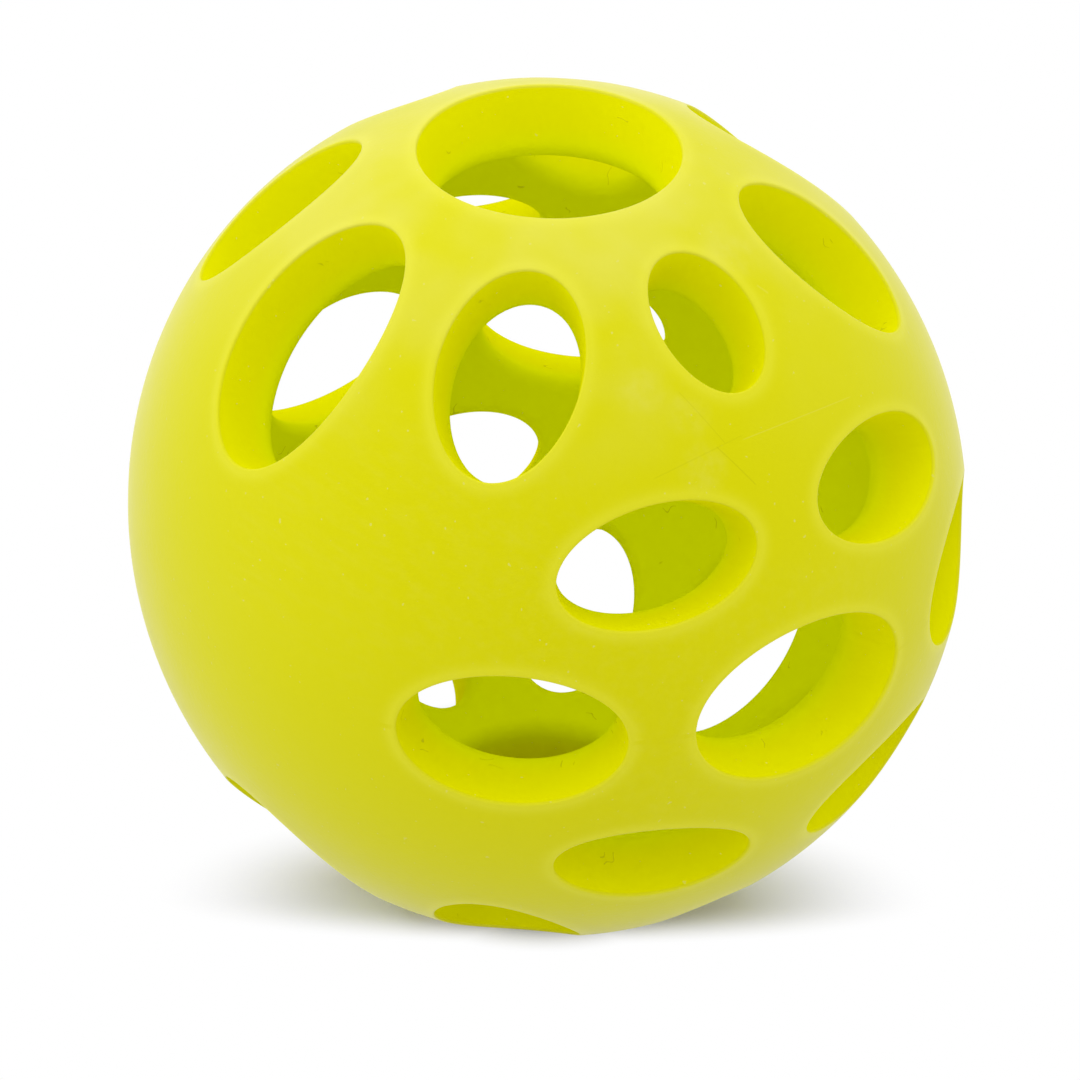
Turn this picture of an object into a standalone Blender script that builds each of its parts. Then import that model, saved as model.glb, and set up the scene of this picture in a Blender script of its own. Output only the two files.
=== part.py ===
"""Hollow rubber dog ball: two identical half shells cemented together round the middle.

Metres, +Z up, origin at the centre of the ball. +Z runs through the two pole holes, +X through a hole on the
join, and the two bare patches face +Y and -Y. The ball stands on the rim of its lower pole hole.
"""
from collections import namedtuple
from itertools import product
from math import asin, cos, pi, radians, sin, sqrt

import bmesh
import bpy
from mathutils import Vector

# Outside of the ball, before the holes are cut
WIDTH = 0.0764          # along X, across the holes on the join
DEPTH = 0.0744          # along Y, across the bare patches
HEIGHT = 0.0774         # along Z, through the pole holes
WALL = 0.0066           # thickness of the rubber

# Join between the halves
FILM = 0.0004           # thickness of the cement
CLEARANCE = 0.0001      # gap between the cement and each half

# Holes. Each kind is placed once, where X, Y and Z are not negative, and mirrored from there. All in degrees.
# down: from the pole to the hole's middle. around: from +X. turn: of the long axis from level.
# long_angle, short_angle: the oval's two sizes at the outer skin, as seen from the centre of the ball.
Hole = namedtuple("Hole", "down around turn long_angle short_angle")
POLE = Hole(down=0, around=0, turn=0, long_angle=36.0, short_angle=36.0)
SHOULDER_SMALL = Hole(down=37, around=0, turn=90, long_angle=20.5, short_angle=14.9)
SHOULDER_MEDIUM = Hole(down=41, around=45, turn=99, long_angle=29.1, short_angle=19.1)
SHOULDER_LARGE = Hole(down=45.4, around=90, turn=90, long_angle=37.2, short_angle=23.0)
FLANK = Hole(down=66.4, around=21, turn=-8, long_angle=27.9, short_angle=15.6)
JOIN_CENTRE = Hole(down=90, around=0, turn=0, long_angle=34.3, short_angle=22.2)
JOIN_SIDE = Hole(down=90, around=41.8, turn=0, long_angle=30.9, short_angle=19.5)
HOLES = (POLE, SHOULDER_SMALL, SHOULDER_MEDIUM, SHOULDER_LARGE, FLANK, JOIN_CENTRE, JOIN_SIDE)
RIM_RADIUS = 0.0004     # crisp rounding of each hole's outer edge
EDGE_RADIUS = 0.0016    # soft rounding of its inner edge

# Finishes
RUBBER_YELLOW = (0.69, 0.67, 0.01, 1.0)
RUBBER_ROUGHNESS = 0.55
CEMENT_YELLOW = (0.72, 0.70, 0.06, 1.0)
CEMENT_ROUGHNESS = 0.50

# Fineness of the mesh
TURN_STEPS = 60         # round the ball
OUTER_STEPS = 15        # from the join to the pole, outside
INNER_STEPS = 8         # from the join to the pole, inside
HOLE_STEPS = 24         # round a hole
RIM_STEPS = 1           # across a crisp outer edge
EDGE_STEPS = 2          # across a soft inner edge
FILM_STEP = radians(6)  # along a film
SMOOTH = radians(40)    # edges up to this angle are shaded smooth

OUTER = Vector((WIDTH, DEPTH, HEIGHT)) / 2
INNER = OUTER - Vector((WALL, WALL, WALL))
JOIN_FACE = FILM / 2 + CLEARANCE        # from the middle plane to each half's flat face
PLUG_TOP = -0.3                         # a cutting plug runs from outside the ball to inside the hollow,
PLUG_FOOT = 0.4                         # as shares of the way from the outer skin to the centre


def new_mesh(name, bm):
    """Turn a bmesh into mesh data with its faces pointing out."""
    bmesh.ops.recalc_face_normals(bm, faces=bm.faces)
    mesh = bpy.data.meshes.new(name)
    bm.to_mesh(mesh)
    bm.free()
    mesh.shade_smooth()
    mesh.set_sharp_from_angle(angle=SMOOTH)
    return mesh


def finish(name, colour, roughness):
    """A plain matte finish."""
    material = bpy.data.materials.new(name)
    material.use_nodes = True
    shader = material.node_tree.nodes["Principled BSDF"]
    shader.inputs["Base Color"].default_value = colour
    shader.inputs["Roughness"].default_value = roughness
    shader.inputs["Metallic"].default_value = 0.0
    return material


def new_object(name, mesh):
    """Put a mesh in the scene under its own name."""
    item = bpy.data.objects.new(name, mesh)
    bpy.context.scene.collection.objects.link(item)
    return item


def bridge(bm, first, second):
    """Join two closed rings of the same length with quads."""
    for i in range(len(first)):
        bm.faces.new((first[i - 1], first[i], second[i], second[i - 1]))


def add_skin(bm, radii, steps):
    """Half an ellipsoid from the join face up to the pole. Returns its lowest ring."""
    lowest = asin(JOIN_FACE / radii.z)
    rings = []
    for row in range(steps):
        height = lowest + (pi / 2 - lowest) * row / steps
        turns = [2 * pi * i / TURN_STEPS for i in range(TURN_STEPS)]
        ways = [Vector((cos(height) * cos(t), cos(height) * sin(t), sin(height))) for t in turns]
        rings.append([bm.verts.new(way * radii) for way in ways])
    for low, high in zip(rings, rings[1:]):
        bridge(bm, low, high)
    pole = bm.verts.new((0, 0, radii.z))
    for i in range(TURN_STEPS):
        bm.faces.new((rings[-1][i - 1], rings[-1][i], pole))
    return rings[0]


def half_shell_mesh():
    """Half shell before its holes are cut: two skins and the flat ring between them."""
    bm = bmesh.new()
    outer_ring = add_skin(bm, OUTER, OUTER_STEPS)
    inner_ring = add_skin(bm, INNER, INNER_STEPS)
    bridge(bm, outer_ring, inner_ring)
    return new_mesh("half_shell", bm)


def hole_axes(hole):
    """Directions of a hole: out through its middle, along its length and across its width."""
    down, around, turn = radians(hole.down), radians(hole.around), radians(hole.turn)
    middle = Vector((sin(down) * cos(around), sin(down) * sin(around), cos(down)))
    level = Vector((-sin(around), cos(around), 0))
    along = level * cos(turn) + middle.cross(level) * sin(turn)
    return middle, along, middle.cross(along)


def half_sizes(hole, grow):
    """Half length and half width of a hole on a ball of radius 1, widened by grow on every side."""
    wider = 2 * grow / WIDTH
    return sin(radians(hole.long_angle) / 2) + wider, sin(radians(hole.short_angle) / 2) + wider


def hole_ring(hole, grow, depth):
    """Points of the hole's oval, widened by grow on every side, a share depth of the way to the centre."""
    middle, along, across = hole_axes(hole)
    half_length, half_width = half_sizes(hole, grow)
    points = []
    for i in range(HOLE_STEPS):
        angle = 2 * pi * i / HOLE_STEPS
        u = half_length * cos(angle)
        v = half_width * sin(angle)
        way = along * u + across * v + middle * sqrt(1 - u * u - v * v)
        points.append(way * OUTER * (1 - depth))
    return points


def plug_rings(hole):
    """Rings of the plug that cuts a hole: a radial cone that widens at the rounded outer and inner edges."""
    rings = [hole_ring(hole, RIM_RADIUS, PLUG_TOP)]
    for i in range(RIM_STEPS + 1):
        angle = pi / 2 * i / RIM_STEPS
        depth = RIM_RADIUS * (1 - cos(angle))
        rings.append(hole_ring(hole, RIM_RADIUS * (1 - sin(angle)), 2 * depth / WIDTH))
    for i in range(EDGE_STEPS + 1):
        angle = pi / 2 * i / EDGE_STEPS
        depth = WALL - EDGE_RADIUS * (1 - sin(angle))
        rings.append(hole_ring(hole, EDGE_RADIUS * (1 - cos(angle)), 2 * depth / WIDTH))
    rings.append(hole_ring(hole, EDGE_RADIUS, PLUG_FOOT))
    return rings


def mirrorings(hole):
    """Signs of X, Y and Z that carry a hole to each of its places, once each."""
    middle = hole_axes(hole)[0]
    return [Vector(signs) for signs in product(*((1, -1) if part > 1e-6 else (1,) for part in middle))]


def hole_cutter():
    """Plugs for all the holes of the ball, in one hidden object."""
    bm = bmesh.new()
    for hole in HOLES:
        for signs in mirrorings(hole):
            rings = [[bm.verts.new(point * signs) for point in ring] for ring in plug_rings(hole)]
            for outer, inner in zip(rings, rings[1:]):
                bridge(bm, outer, inner)
            bm.faces.new(rings[0])
            bm.faces.new(rings[-1])
    cutter = new_object("hole_cutter", new_mesh("hole_cutter", bm))
    cutter.hide_render = True
    cutter.display_type = 'WIRE'
    return cutter


def half_shell(name, mesh, cutter, turn):
    """One half of the ball, turned about X, with its holes cut."""
    half = new_object(name, mesh)
    half.rotation_euler.x = turn
    cut = half.modifiers.new("holes", 'BOOLEAN')
    cut.operation = 'DIFFERENCE'
    cut.solver = 'EXACT'
    cut.object = cutter
    return half


def rim_angle(hole, grow):
    """Angle round the join from the middle of a hole to its end, widened by grow."""
    return asin(half_sizes(hole, grow)[0])


def film_spans(grow):
    """Where each film starts and ends round the join, with the holes widened by grow."""
    side = radians(JOIN_SIDE.around)
    strut_start = rim_angle(JOIN_CENTRE, grow)
    strut_end = side - rim_angle(JOIN_SIDE, grow)
    patch_start = side + rim_angle(JOIN_SIDE, grow)
    return {
        "bond_patch_back": (patch_start, pi - patch_start),
        "bond_patch_front": (pi + patch_start, 2 * pi - patch_start),
        "bond_strut_right_back": (strut_start, strut_end),
        "bond_strut_right_front": (-strut_end, -strut_start),
        "bond_strut_left_back": (pi - strut_end, pi - strut_start),
        "bond_strut_left_front": (pi + strut_start, pi + strut_end),
    }


def bond_film(name, outer_span, inner_span):
    """Cement between the halves, as long as the rounded edges leave room for outside and inside."""
    count = max(1, round((outer_span[1] - outer_span[0]) / FILM_STEP))
    corners = ((INNER, inner_span, -FILM / 2), (OUTER, outer_span, -FILM / 2),
               (OUTER, outer_span, FILM / 2), (INNER, inner_span, FILM / 2))
    bm = bmesh.new()
    sections = []
    for i in range(count + 1):
        section = []
        for radii, (start, end), z in corners:
            angle = start + (end - start) * i / count
            section.append(bm.verts.new((radii.x * cos(angle), radii.y * sin(angle), z)))
        sections.append(section)
    for one, two in zip(sections, sections[1:]):
        bridge(bm, one, two)
    bm.faces.new(sections[0])
    bm.faces.new(sections[-1])
    return new_object(name, new_mesh(name, bm))


for old in list(bpy.data.objects):
    bpy.data.objects.remove(old)

rubber = finish("yellow_rubber", RUBBER_YELLOW, RUBBER_ROUGHNESS)
cement = finish("yellow_cement", CEMENT_YELLOW, CEMENT_ROUGHNESS)

plugs = hole_cutter()
plugs.data.materials.append(rubber)
moulding = half_shell_mesh()
moulding.materials.append(rubber)
half_shell("upper_half_shell", moulding, plugs, 0)
half_shell("lower_half_shell", moulding, plugs, pi)

outside, inside = film_spans(RIM_RADIUS), film_spans(EDGE_RADIUS)
for name in outside:
    bond_film(name, outside[name], inside[name]).data.materials.append(cement)
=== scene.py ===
# %% [markdown]
# # A hollow rubber dog ball
#
# The ball is a thick rubber shell with holes all over: round ones at the poles and ovals everywhere else.
# It is moulded as two equal halves that are cemented together round the middle. This lesson gives the
# rubber its matte, faintly dusty finish, and builds the halves with Geometry Nodes from the rule that the
# holes follow, so that every hole is a true oval with a crisp rim and a softly rounded inner edge.

# %% Load the measured frame
from collections import namedtuple
from math import cos, pi, radians, sin

import bmesh
import bpy
from mathutils import Matrix, Vector


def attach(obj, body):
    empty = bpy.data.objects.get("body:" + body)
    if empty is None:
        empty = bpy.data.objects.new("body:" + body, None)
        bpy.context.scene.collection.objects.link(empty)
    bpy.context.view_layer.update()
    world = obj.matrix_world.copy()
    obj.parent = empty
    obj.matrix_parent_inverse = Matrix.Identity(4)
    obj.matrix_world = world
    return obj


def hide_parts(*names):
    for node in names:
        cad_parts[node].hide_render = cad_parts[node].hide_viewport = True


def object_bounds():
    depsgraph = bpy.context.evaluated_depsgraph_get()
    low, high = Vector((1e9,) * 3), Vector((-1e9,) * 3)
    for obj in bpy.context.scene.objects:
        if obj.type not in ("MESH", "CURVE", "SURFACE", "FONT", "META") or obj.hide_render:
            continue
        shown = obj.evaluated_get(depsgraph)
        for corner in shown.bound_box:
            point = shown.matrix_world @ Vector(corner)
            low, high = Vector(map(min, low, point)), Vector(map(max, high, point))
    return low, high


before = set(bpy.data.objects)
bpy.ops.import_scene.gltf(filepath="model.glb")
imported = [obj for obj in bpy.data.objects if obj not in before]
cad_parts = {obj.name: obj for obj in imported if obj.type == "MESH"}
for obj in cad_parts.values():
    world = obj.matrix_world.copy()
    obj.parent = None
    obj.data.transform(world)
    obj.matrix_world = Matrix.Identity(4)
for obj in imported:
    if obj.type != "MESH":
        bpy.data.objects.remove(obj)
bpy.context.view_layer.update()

print("CAD nodes:", sorted(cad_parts))

# %% [markdown]
# ## The rule of the holes
#
# The ball is very slightly flattened across its two bare patches. Its holes come in seven kinds. Each kind
# is placed once, where X, Y and Z are not negative, and three mirror planes carry it to all its other
# places. An oval is given by its angle down from the pole, its angle round from +X, the turn of its long
# axis, and its two sizes as seen from the centre, all in degrees. A list of 32 holes would do as well, but
# the rule keeps the ball regular and the search for the nearest hole short. These are the sizes of the
# solid model, repeated because this file reads only the frame. Only the rim is finer here, since the solid
# model's is coarse up close.

# %% Sizes of the ball
WIDTH, DEPTH, HEIGHT = 0.0764, 0.0744, 0.0774
WALL = 0.0066
RIM_RADIUS = 0.0002     # crisp outer edge of a hole
EDGE_RADIUS = 0.0016    # soft inner edge
FILM = 0.0004           # cement between the halves
HAIR_GAP = 0.000002     # keeps the halves' flat faces just off the cement

Hole = namedtuple("Hole", "down around turn long_angle short_angle")
HOLES = {
    "pole": Hole(0, 0, 0, 36.0, 36.0),
    "shoulder small": Hole(37, 0, 90, 20.5, 14.9),
    "shoulder medium": Hole(41, 45, 99, 29.1, 19.1),
    "shoulder large": Hole(45.4, 90, 90, 37.2, 23.0),
    "flank": Hole(66.4, 21, -8, 27.9, 15.6),
    "join centre": Hole(90, 0, 0, 34.3, 22.2),
    "join side": Hole(90, 41.8, 0, 30.9, 19.5),
}


def hole_axes(hole):
    """Directions out through a hole's middle, along its length and across its width."""
    down, around, turn = radians(hole.down), radians(hole.around), radians(hole.turn)
    middle = Vector((sin(down) * cos(around), sin(down) * sin(around), cos(down)))
    level = Vector((-sin(around), cos(around), 0))
    along = level * cos(turn) + middle.cross(level) * sin(turn)
    return middle, along, middle.cross(along)


def half_sizes(hole):
    """Half length and half width of a hole on a ball of radius 1."""
    return sin(radians(hole.long_angle) / 2), sin(radians(hole.short_angle) / 2)


for kind, hole in HOLES.items():
    print(f"{kind}: {hole.long_angle} by {hole.short_angle} degrees, {hole.down} degrees from the pole")

# %% [markdown]
# ## Helpers for node trees
#
# A node tree built in a script is easier to read when adding a node takes one line. `put` adds a node, sets
# its options, feeds its inputs in order from sockets or plain values, and hands back one output. The short
# helpers after it do sums on numbers and on vectors, start a new tree, and place one tree inside another.

# %% Node helpers


def feed(tree, socket, value):
    """Link a socket to an input, or set a plain value on it."""
    if isinstance(value, bpy.types.NodeSocket):
        tree.links.new(value, socket)
    else:
        socket.default_value = value


def put(tree, kind, *values, out=0, **options):
    """Add a node with its options, feed its inputs in order (None leaves one alone), and return an output."""
    item = tree.nodes.new(kind)
    for name, value in options.items():
        setattr(item, name, value)
    sockets = [socket for socket in item.inputs if socket.enabled]
    for socket, value in zip(sockets, values):
        if value is not None:
            feed(tree, socket, value)
    results = [socket for socket in item.outputs if socket.enabled]
    return results[out]


def number(tree, operation, *values):
    """A sum on numbers."""
    return put(tree, "ShaderNodeMath", *values, operation=operation)


def vector(tree, operation, *values):
    """A sum on vectors."""
    return put(tree, "ShaderNodeVectorMath", *values, operation=operation)


def length_of(tree, value):
    """The length of a vector."""
    return vector(tree, 'LENGTH', value)


def new_tree(name, inputs, outputs):
    """A geometry node tree with named sockets. Returns the tree, its inputs by name, and its output node."""
    tree = bpy.data.node_groups.new(name, "GeometryNodeTree")
    for label, kind in inputs:
        tree.interface.new_socket(name=label, in_out='INPUT', socket_type="NodeSocket" + kind)
    for label, kind in outputs:
        tree.interface.new_socket(name=label, in_out='OUTPUT', socket_type="NodeSocket" + kind)
    source = tree.nodes.new("NodeGroupInput")
    sink = tree.nodes.new("NodeGroupOutput")
    return tree, {label: source.outputs[label] for label, _ in inputs}, sink


def use(tree, group, values):
    """Place a node group in a tree, feed its inputs by name, and return its outputs by name."""
    item = tree.nodes.new("GeometryNodeGroup")
    item.node_tree = group
    for label, value in values.items():
        feed(tree, item.inputs[label], value)
    return {socket.name: socket for socket in item.outputs}


# %% [markdown]
# ## The rubber
#
# The real rubber is a strong yellow that leans to green in the shade. Light gets a little way into it, so
# it looks paler along the thin rims and greener inside. Subsurface scattering would show that too, but it
# is slow and an exported part doesn't keep it, so this light and shade are painted into the colour by place
# instead: the distance from the ball's centre, which Object coordinates give, tells the skin, the walls of
# the holes and the lining apart, and a value stored on the mesh tells how near a hole's edge is.

# %% Material: moulded rubber
EDGE_NEARNESS = "edge_nearness"     # stored on the mesh: 1 at a hole's edge, 0 a short way from it
SKIN_YELLOW = (0.770, 0.745, 0.000, 1.0)
# Painted light and shade: the walls are painted brighter than the skin, and the lining brighter and greener,
# for light that gets into the rubber and bounces inside the ball
WALL_GLOW_YELLOW = (0.890, 0.872, 0.000, 1.0)
LINING_GLOW_AND_SHADE_YELLOW = (0.870, 0.925, 0.000, 1.0)
# painted glow along the rims of the holes, where light shines through the thin rubber
RIM_GLOW_YELLOW = (0.930, 0.910, 0.060, 1.0)
# whitish bloom of dust, which also carries a painted highlight where it thickens towards the poles
BLOOM_AND_HIGHLIGHT = (0.900, 0.850, 0.250, 1.0)
DUST = (0.870, 0.860, 0.500, 1.0)
LINT = (0.420, 0.400, 0.020, 1.0)
CREASE = (0.520, 0.500, 0.000, 1.0)
SKIN_FADE = (0.990, 0.998)      # shares of the ball's radius between which wall turns to skin
LINING_FADE = (0.835, 0.920)    # and lining turns to wall
RIM_GLOW_STRENGTH = 0.30


def ramp(tree, value, low, high):
    """0 below low, 1 above high, smooth between."""
    return put(tree, "ShaderNodeMapRange", value, low, high, 0.0, 1.0, interpolation_type='SMOOTHSTEP')


def noise(tree, place, scale, detail=2.0, roughness=0.5):
    """Noise from 0 to 1."""
    return put(tree, "ShaderNodeTexNoise", place, scale, detail, roughness)


def blend_colour(tree, factor, first, second):
    """Mix two colours."""
    return put(tree, "ShaderNodeMix", factor, first, second, data_type='RGBA')


rubber = bpy.data.materials.new("moulded_rubber")
rubber.use_nodes = True
tree = rubber.node_tree
shader = tree.nodes["Principled BSDF"]
place = put(tree, "ShaderNodeTexCoord", out=3)
shares = vector(tree, 'DIVIDE', place, (WIDTH / 2, DEPTH / 2, HEIGHT / 2))
radius = length_of(tree, shares)
outside = ramp(tree, radius, *SKIN_FADE)
inside = number(tree, 'SUBTRACT', 1.0, ramp(tree, radius, *LINING_FADE))
near_edge = put(tree, "ShaderNodeAttribute", attribute_name=EDGE_NEARNESS, out=2)
# Painted light and shade: brighter walls and a greener lining stand in for the light inside the rubber
colour = blend_colour(tree, inside, WALL_GLOW_YELLOW, LINING_GLOW_AND_SHADE_YELLOW)
colour = blend_colour(tree, outside, colour, SKIN_YELLOW)
# Painted light: a pale glow along the rims of the holes
painted_rim_glow = number(tree, 'MULTIPLY', number(tree, 'MULTIPLY', near_edge, near_edge), outside)
colour = blend_colour(tree, number(tree, 'MULTIPLY', painted_rim_glow, RIM_GLOW_STRENGTH), colour, RIM_GLOW_YELLOW)
print("rubber nodes for the plain colours:", len(tree.nodes))

# %% [markdown]
# ## Bloom and painted highlight on the skin
#
# Handled rubber carries a bloom, a faint whitish film that is rubbed into streaks where hands and teeth have
# been. It is made thickest near the poles: partly dust, and partly a painted highlight of the lamps above.
# Two soft noises break it up, and noise that is stretched along one axis makes the streaks. It belongs to
# the outer skin only, so it is masked to it when the colours are mixed.

# %% Material: bloom, painted highlight and rubbed streaks
BLOOM_AND_HIGHLIGHT_HEIGHTS = (0.020, 0.036)      # from the middle plane: the bloom and painted highlight thicken between these
POLE_BLOOM_AND_HIGHLIGHT, BLOOM_THIN = 0.34, 0.005
RUBBED_STRENGTH = 0.04
patchy = ramp(tree, noise(tree, place, scale=60.0, detail=3.0), low=0.35, high=0.70)
handled = ramp(tree, noise(tree, place, scale=38.0, detail=1.0), low=0.48, high=0.62)


def brushed(turn, stretch):
    """Soft streaks that run one way."""
    turned = put(tree, "ShaderNodeMapping", place, (0.0, 0.0, 0.0), turn, stretch)
    return ramp(tree, noise(tree, turned, scale=1.0, detail=4.0, roughness=0.6), low=0.42, high=0.85)


rubbed = number(tree, 'MAXIMUM', brushed(turn=(0.4, 0.2, 0.9), stretch=(90.0, 900.0, 900.0)),
                brushed(turn=(1.9, 0.7, 0.1), stretch=(120.0, 1100.0, 1100.0)))
rubbed = number(tree, 'MULTIPLY', rubbed, handled)
height = number(tree, 'ABSOLUTE', put(tree, "ShaderNodeSeparateXYZ", place, out=2))
# Painted highlight: the bloom is made thicker towards the poles, partly as dust and partly for the light of
# the lamps above
dust_and_painted_highlight = number(tree, 'MULTIPLY_ADD', ramp(tree, height, *BLOOM_AND_HIGHLIGHT_HEIGHTS), POLE_BLOOM_AND_HIGHLIGHT, BLOOM_THIN)
bloom_and_highlight = number(tree, 'MULTIPLY', patchy, dust_and_painted_highlight)
bloom_and_highlight = number(tree, 'MULTIPLY_ADD', rubbed, RUBBED_STRENGTH, bloom_and_highlight)
print("rubber nodes with the bloom:", len(tree.nodes))

# %% [markdown]
# ## Creases, scratches and smudges
#
# Up close the skin shows a few hairline creases from the mould, pale scratches and soft smudges. Each mark
# has its own place, so noise won't do. A mark is given by directions from the centre of the ball, in
# degrees down from the pole and round from +X. The distance from the plane through the centre and a mark's
# two ends draws the line, and the angle from its middle ends it.

# %% Material: creases, scratches and smudges
MARK_STRENGTH = 0.12                    # of the pale scratches and smudges
LINE_CORE = 0.3                         # share of a line's half width that has its full strength
END_FADE = 0.2                          # past its ends, a mark fades over this share of their drop in cosine
SMUDGE_CORE, SMUDGE_RIM = 0.3, 1.6      # shares of a smudge's reach
direction = vector(tree, 'NORMALIZE', shares)


def line(distance, half_width):
    """1 on a line, fading to 0 at half its width."""
    return number(tree, 'SUBTRACT', 1.0, ramp(tree, distance, LINE_CORE * half_width, half_width))


def on_ball(down, around):
    """Direction at an angle down from the pole and round from +X, in degrees."""
    down, around = radians(down), radians(around)
    return Vector((sin(down) * cos(around), sin(down) * sin(around), cos(down)))


def scratch(start, end, half_width):
    """A straight mark on the skin between two directions."""
    first, last = on_ball(*start), on_ball(*end)
    middle = (first + last).normalized()
    across = number(tree, 'ABSOLUTE', vector(tree, 'DOT_PRODUCT', direction, first.cross(last).normalized()))
    reach = middle.dot(first)
    closeness = vector(tree, 'DOT_PRODUCT', direction, middle)
    within = ramp(tree, closeness, reach - END_FADE * (1 - reach), reach)
    return number(tree, 'MULTIPLY', line(across, half_width), within)


def smudge(middle, reach):
    """A soft pale spot on the skin, broken up by fine noise."""
    closeness = vector(tree, 'DOT_PRODUCT', direction, on_ball(*middle))
    near = ramp(tree, closeness, cos(SMUDGE_RIM * reach), cos(SMUDGE_CORE * reach))
    broken = ramp(tree, noise(tree, place, scale=700.0, detail=4.0, roughness=0.6), low=0.25, high=0.80)
    return number(tree, 'MULTIPLY', near, broken)


# Start, end, half width as a share of the radius, and strength
CREASES = (((45.2, -12.5), (52.6, -7.2), 0.0018, 0.22), ((53.1, -8.6), (58.8, -4.0), 0.0024, 0.30),
           ((55.2, -20.0), (52.5, -4.1), 0.0022, 0.16))
# Start, end and half width
SCRATCHES = (((111.0, -86.1), (112.5, -81.6), 0.004), ((36.0, 16.7), (37.6, 17.8), 0.004),
             ((53.0, -3.0), (54.6, 20.0), 0.0018))
# Middle, and reach in radians
SMUDGES = (((48.2, -12.0), 0.040), ((55.2, -11.9), 0.045), ((44.1, -20.0), 0.040), ((30.6, 19.4), 0.060))
for start, end, half_width in SCRATCHES:
    bloom_and_highlight = number(tree, 'MULTIPLY_ADD', scratch(start, end, half_width), MARK_STRENGTH, bloom_and_highlight)
for middle, reach in SMUDGES:
    bloom_and_highlight = number(tree, 'MULTIPLY_ADD', smudge(middle, reach), MARK_STRENGTH, bloom_and_highlight)
colour = blend_colour(tree, number(tree, 'MULTIPLY', bloom_and_highlight, outside), colour, BLOOM_AND_HIGHLIGHT)
creases = 0.0
for start, end, half_width, strength in CREASES:
    creases = number(tree, 'MULTIPLY_ADD', scratch(start, end, half_width), strength, creases)
colour = blend_colour(tree, number(tree, 'MULTIPLY', creases, outside), colour, CREASE)
print("creases, scratches and smudges:", len(CREASES), len(SCRATCHES), len(SMUDGES))

# %% [markdown]
# ## Dust and lint
#
# Soft rubber picks up dust, and hairs of lint stay caught in the holes where nothing rubs them off. The
# peaks of a fine noise make the specks. The places where a coarser noise crosses its middle value are thin
# curling lines, and a second noise keeps only short bits of them, which look like hairs. Modelled hairs
# would take many thin faces for something so faint.

# %% Material: dust, and lint caught in the holes
HOLE_FADE = (0.975, 0.985)      # shares of the radius below which a point is well inside a hole
DUST_STRENGTH = 0.20
LINT_STRENGTH = 0.45
specks = ramp(tree, noise(tree, place, scale=2600.0, detail=0.0), low=0.82, high=0.86)
colour = blend_colour(tree, number(tree, 'MULTIPLY', specks, DUST_STRENGTH), colour, DUST)
curl = number(tree, 'ABSOLUTE', number(tree, 'SUBTRACT', noise(tree, place, scale=900.0, detail=0.0), 0.5))
hairs = number(tree, 'SUBTRACT', 1.0, ramp(tree, curl, low=0.010, high=0.030))
caught = ramp(tree, noise(tree, place, scale=420.0, detail=0.0), low=0.76, high=0.79)
in_holes = number(tree, 'SUBTRACT', 1.0, ramp(tree, radius, *HOLE_FADE))
hairs = number(tree, 'MULTIPLY', hairs, number(tree, 'MULTIPLY', caught, in_holes))
colour = blend_colour(tree, number(tree, 'MULTIPLY', hairs, LINT_STRENGTH), colour, LINT)
feed(tree, shader.inputs["Base Color"], colour)
print("rubber nodes with dust and lint:", len(tree.nodes))

# %% [markdown]
# ## Gloss and grain
#
# The rubber is matte, a little smoother where the skin is worn and dull inside the holes. Fine noise in the
# bump gives the grain. Sheen, a glow at grazing angles that Blender has for cloth, also suits dusty rubber:
# it lightens the outline of the ball. Inside the holes it would draw a pale line along every inner edge, so
# the holes get a copy of the rubber without sheen or gloss.

# %% Material: gloss and grain
SKIN_ROUGHNESS, SKIN_WEAR = 0.40, 0.12
HOLE_ROUGHNESS = 0.85
GRAIN_STRENGTH, GRAIN_HEIGHT = 0.18, 0.00012
grain = noise(tree, place, scale=1800.0, detail=2.0, roughness=0.6)
worn = number(tree, 'MULTIPLY_ADD', noise(tree, place, scale=240.0, detail=3.0), SKIN_WEAR, SKIN_ROUGHNESS)
dull = number(tree, 'MULTIPLY', in_holes, HOLE_ROUGHNESS)
feed(tree, shader.inputs["Roughness"], number(tree, 'MAXIMUM', worn, dull))
feed(tree, shader.inputs["Normal"], put(tree, "ShaderNodeBump", GRAIN_STRENGTH, GRAIN_HEIGHT, None, grain))
shader.inputs["IOR"].default_value = 1.45
shader.inputs["Specular IOR Level"].default_value = 0.05
shader.inputs["Sheen Weight"].default_value = 0.42
shader.inputs["Sheen Roughness"].default_value = 0.36
shader.inputs["Sheen Tint"].default_value = (1.0, 0.99, 0.80, 1.0)
print("rubber nodes:", len(tree.nodes))

# %% Material: rubber inside the holes
hole_rubber = rubber.copy()
hole_rubber.name = "rubber_in_holes"
hole_shader = hole_rubber.node_tree.nodes["Principled BSDF"]
hole_shader.inputs["Sheen Weight"].default_value = 0.0
hole_shader.inputs["Specular IOR Level"].default_value = 0.0
print("rubbers:", rubber.name, "and", hole_rubber.name)

# %% [markdown]
# ## Finding the nearest hole
#
# The shell is shaped by its holes, so every point has to know the hole it is nearest to. Mirror symmetry
# makes the search cheap: take the size of each coordinate without its sign, and every direction lands in
# one eighth of the ball, where only seven ovals have to be tried. An oval's level is 1 on its edge, less
# inside and more outside, so the nearest hole is the one with the lowest level. One small group tries one
# oval and keeps the better of it and the best so far; seven of them in a row make the search.

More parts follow.
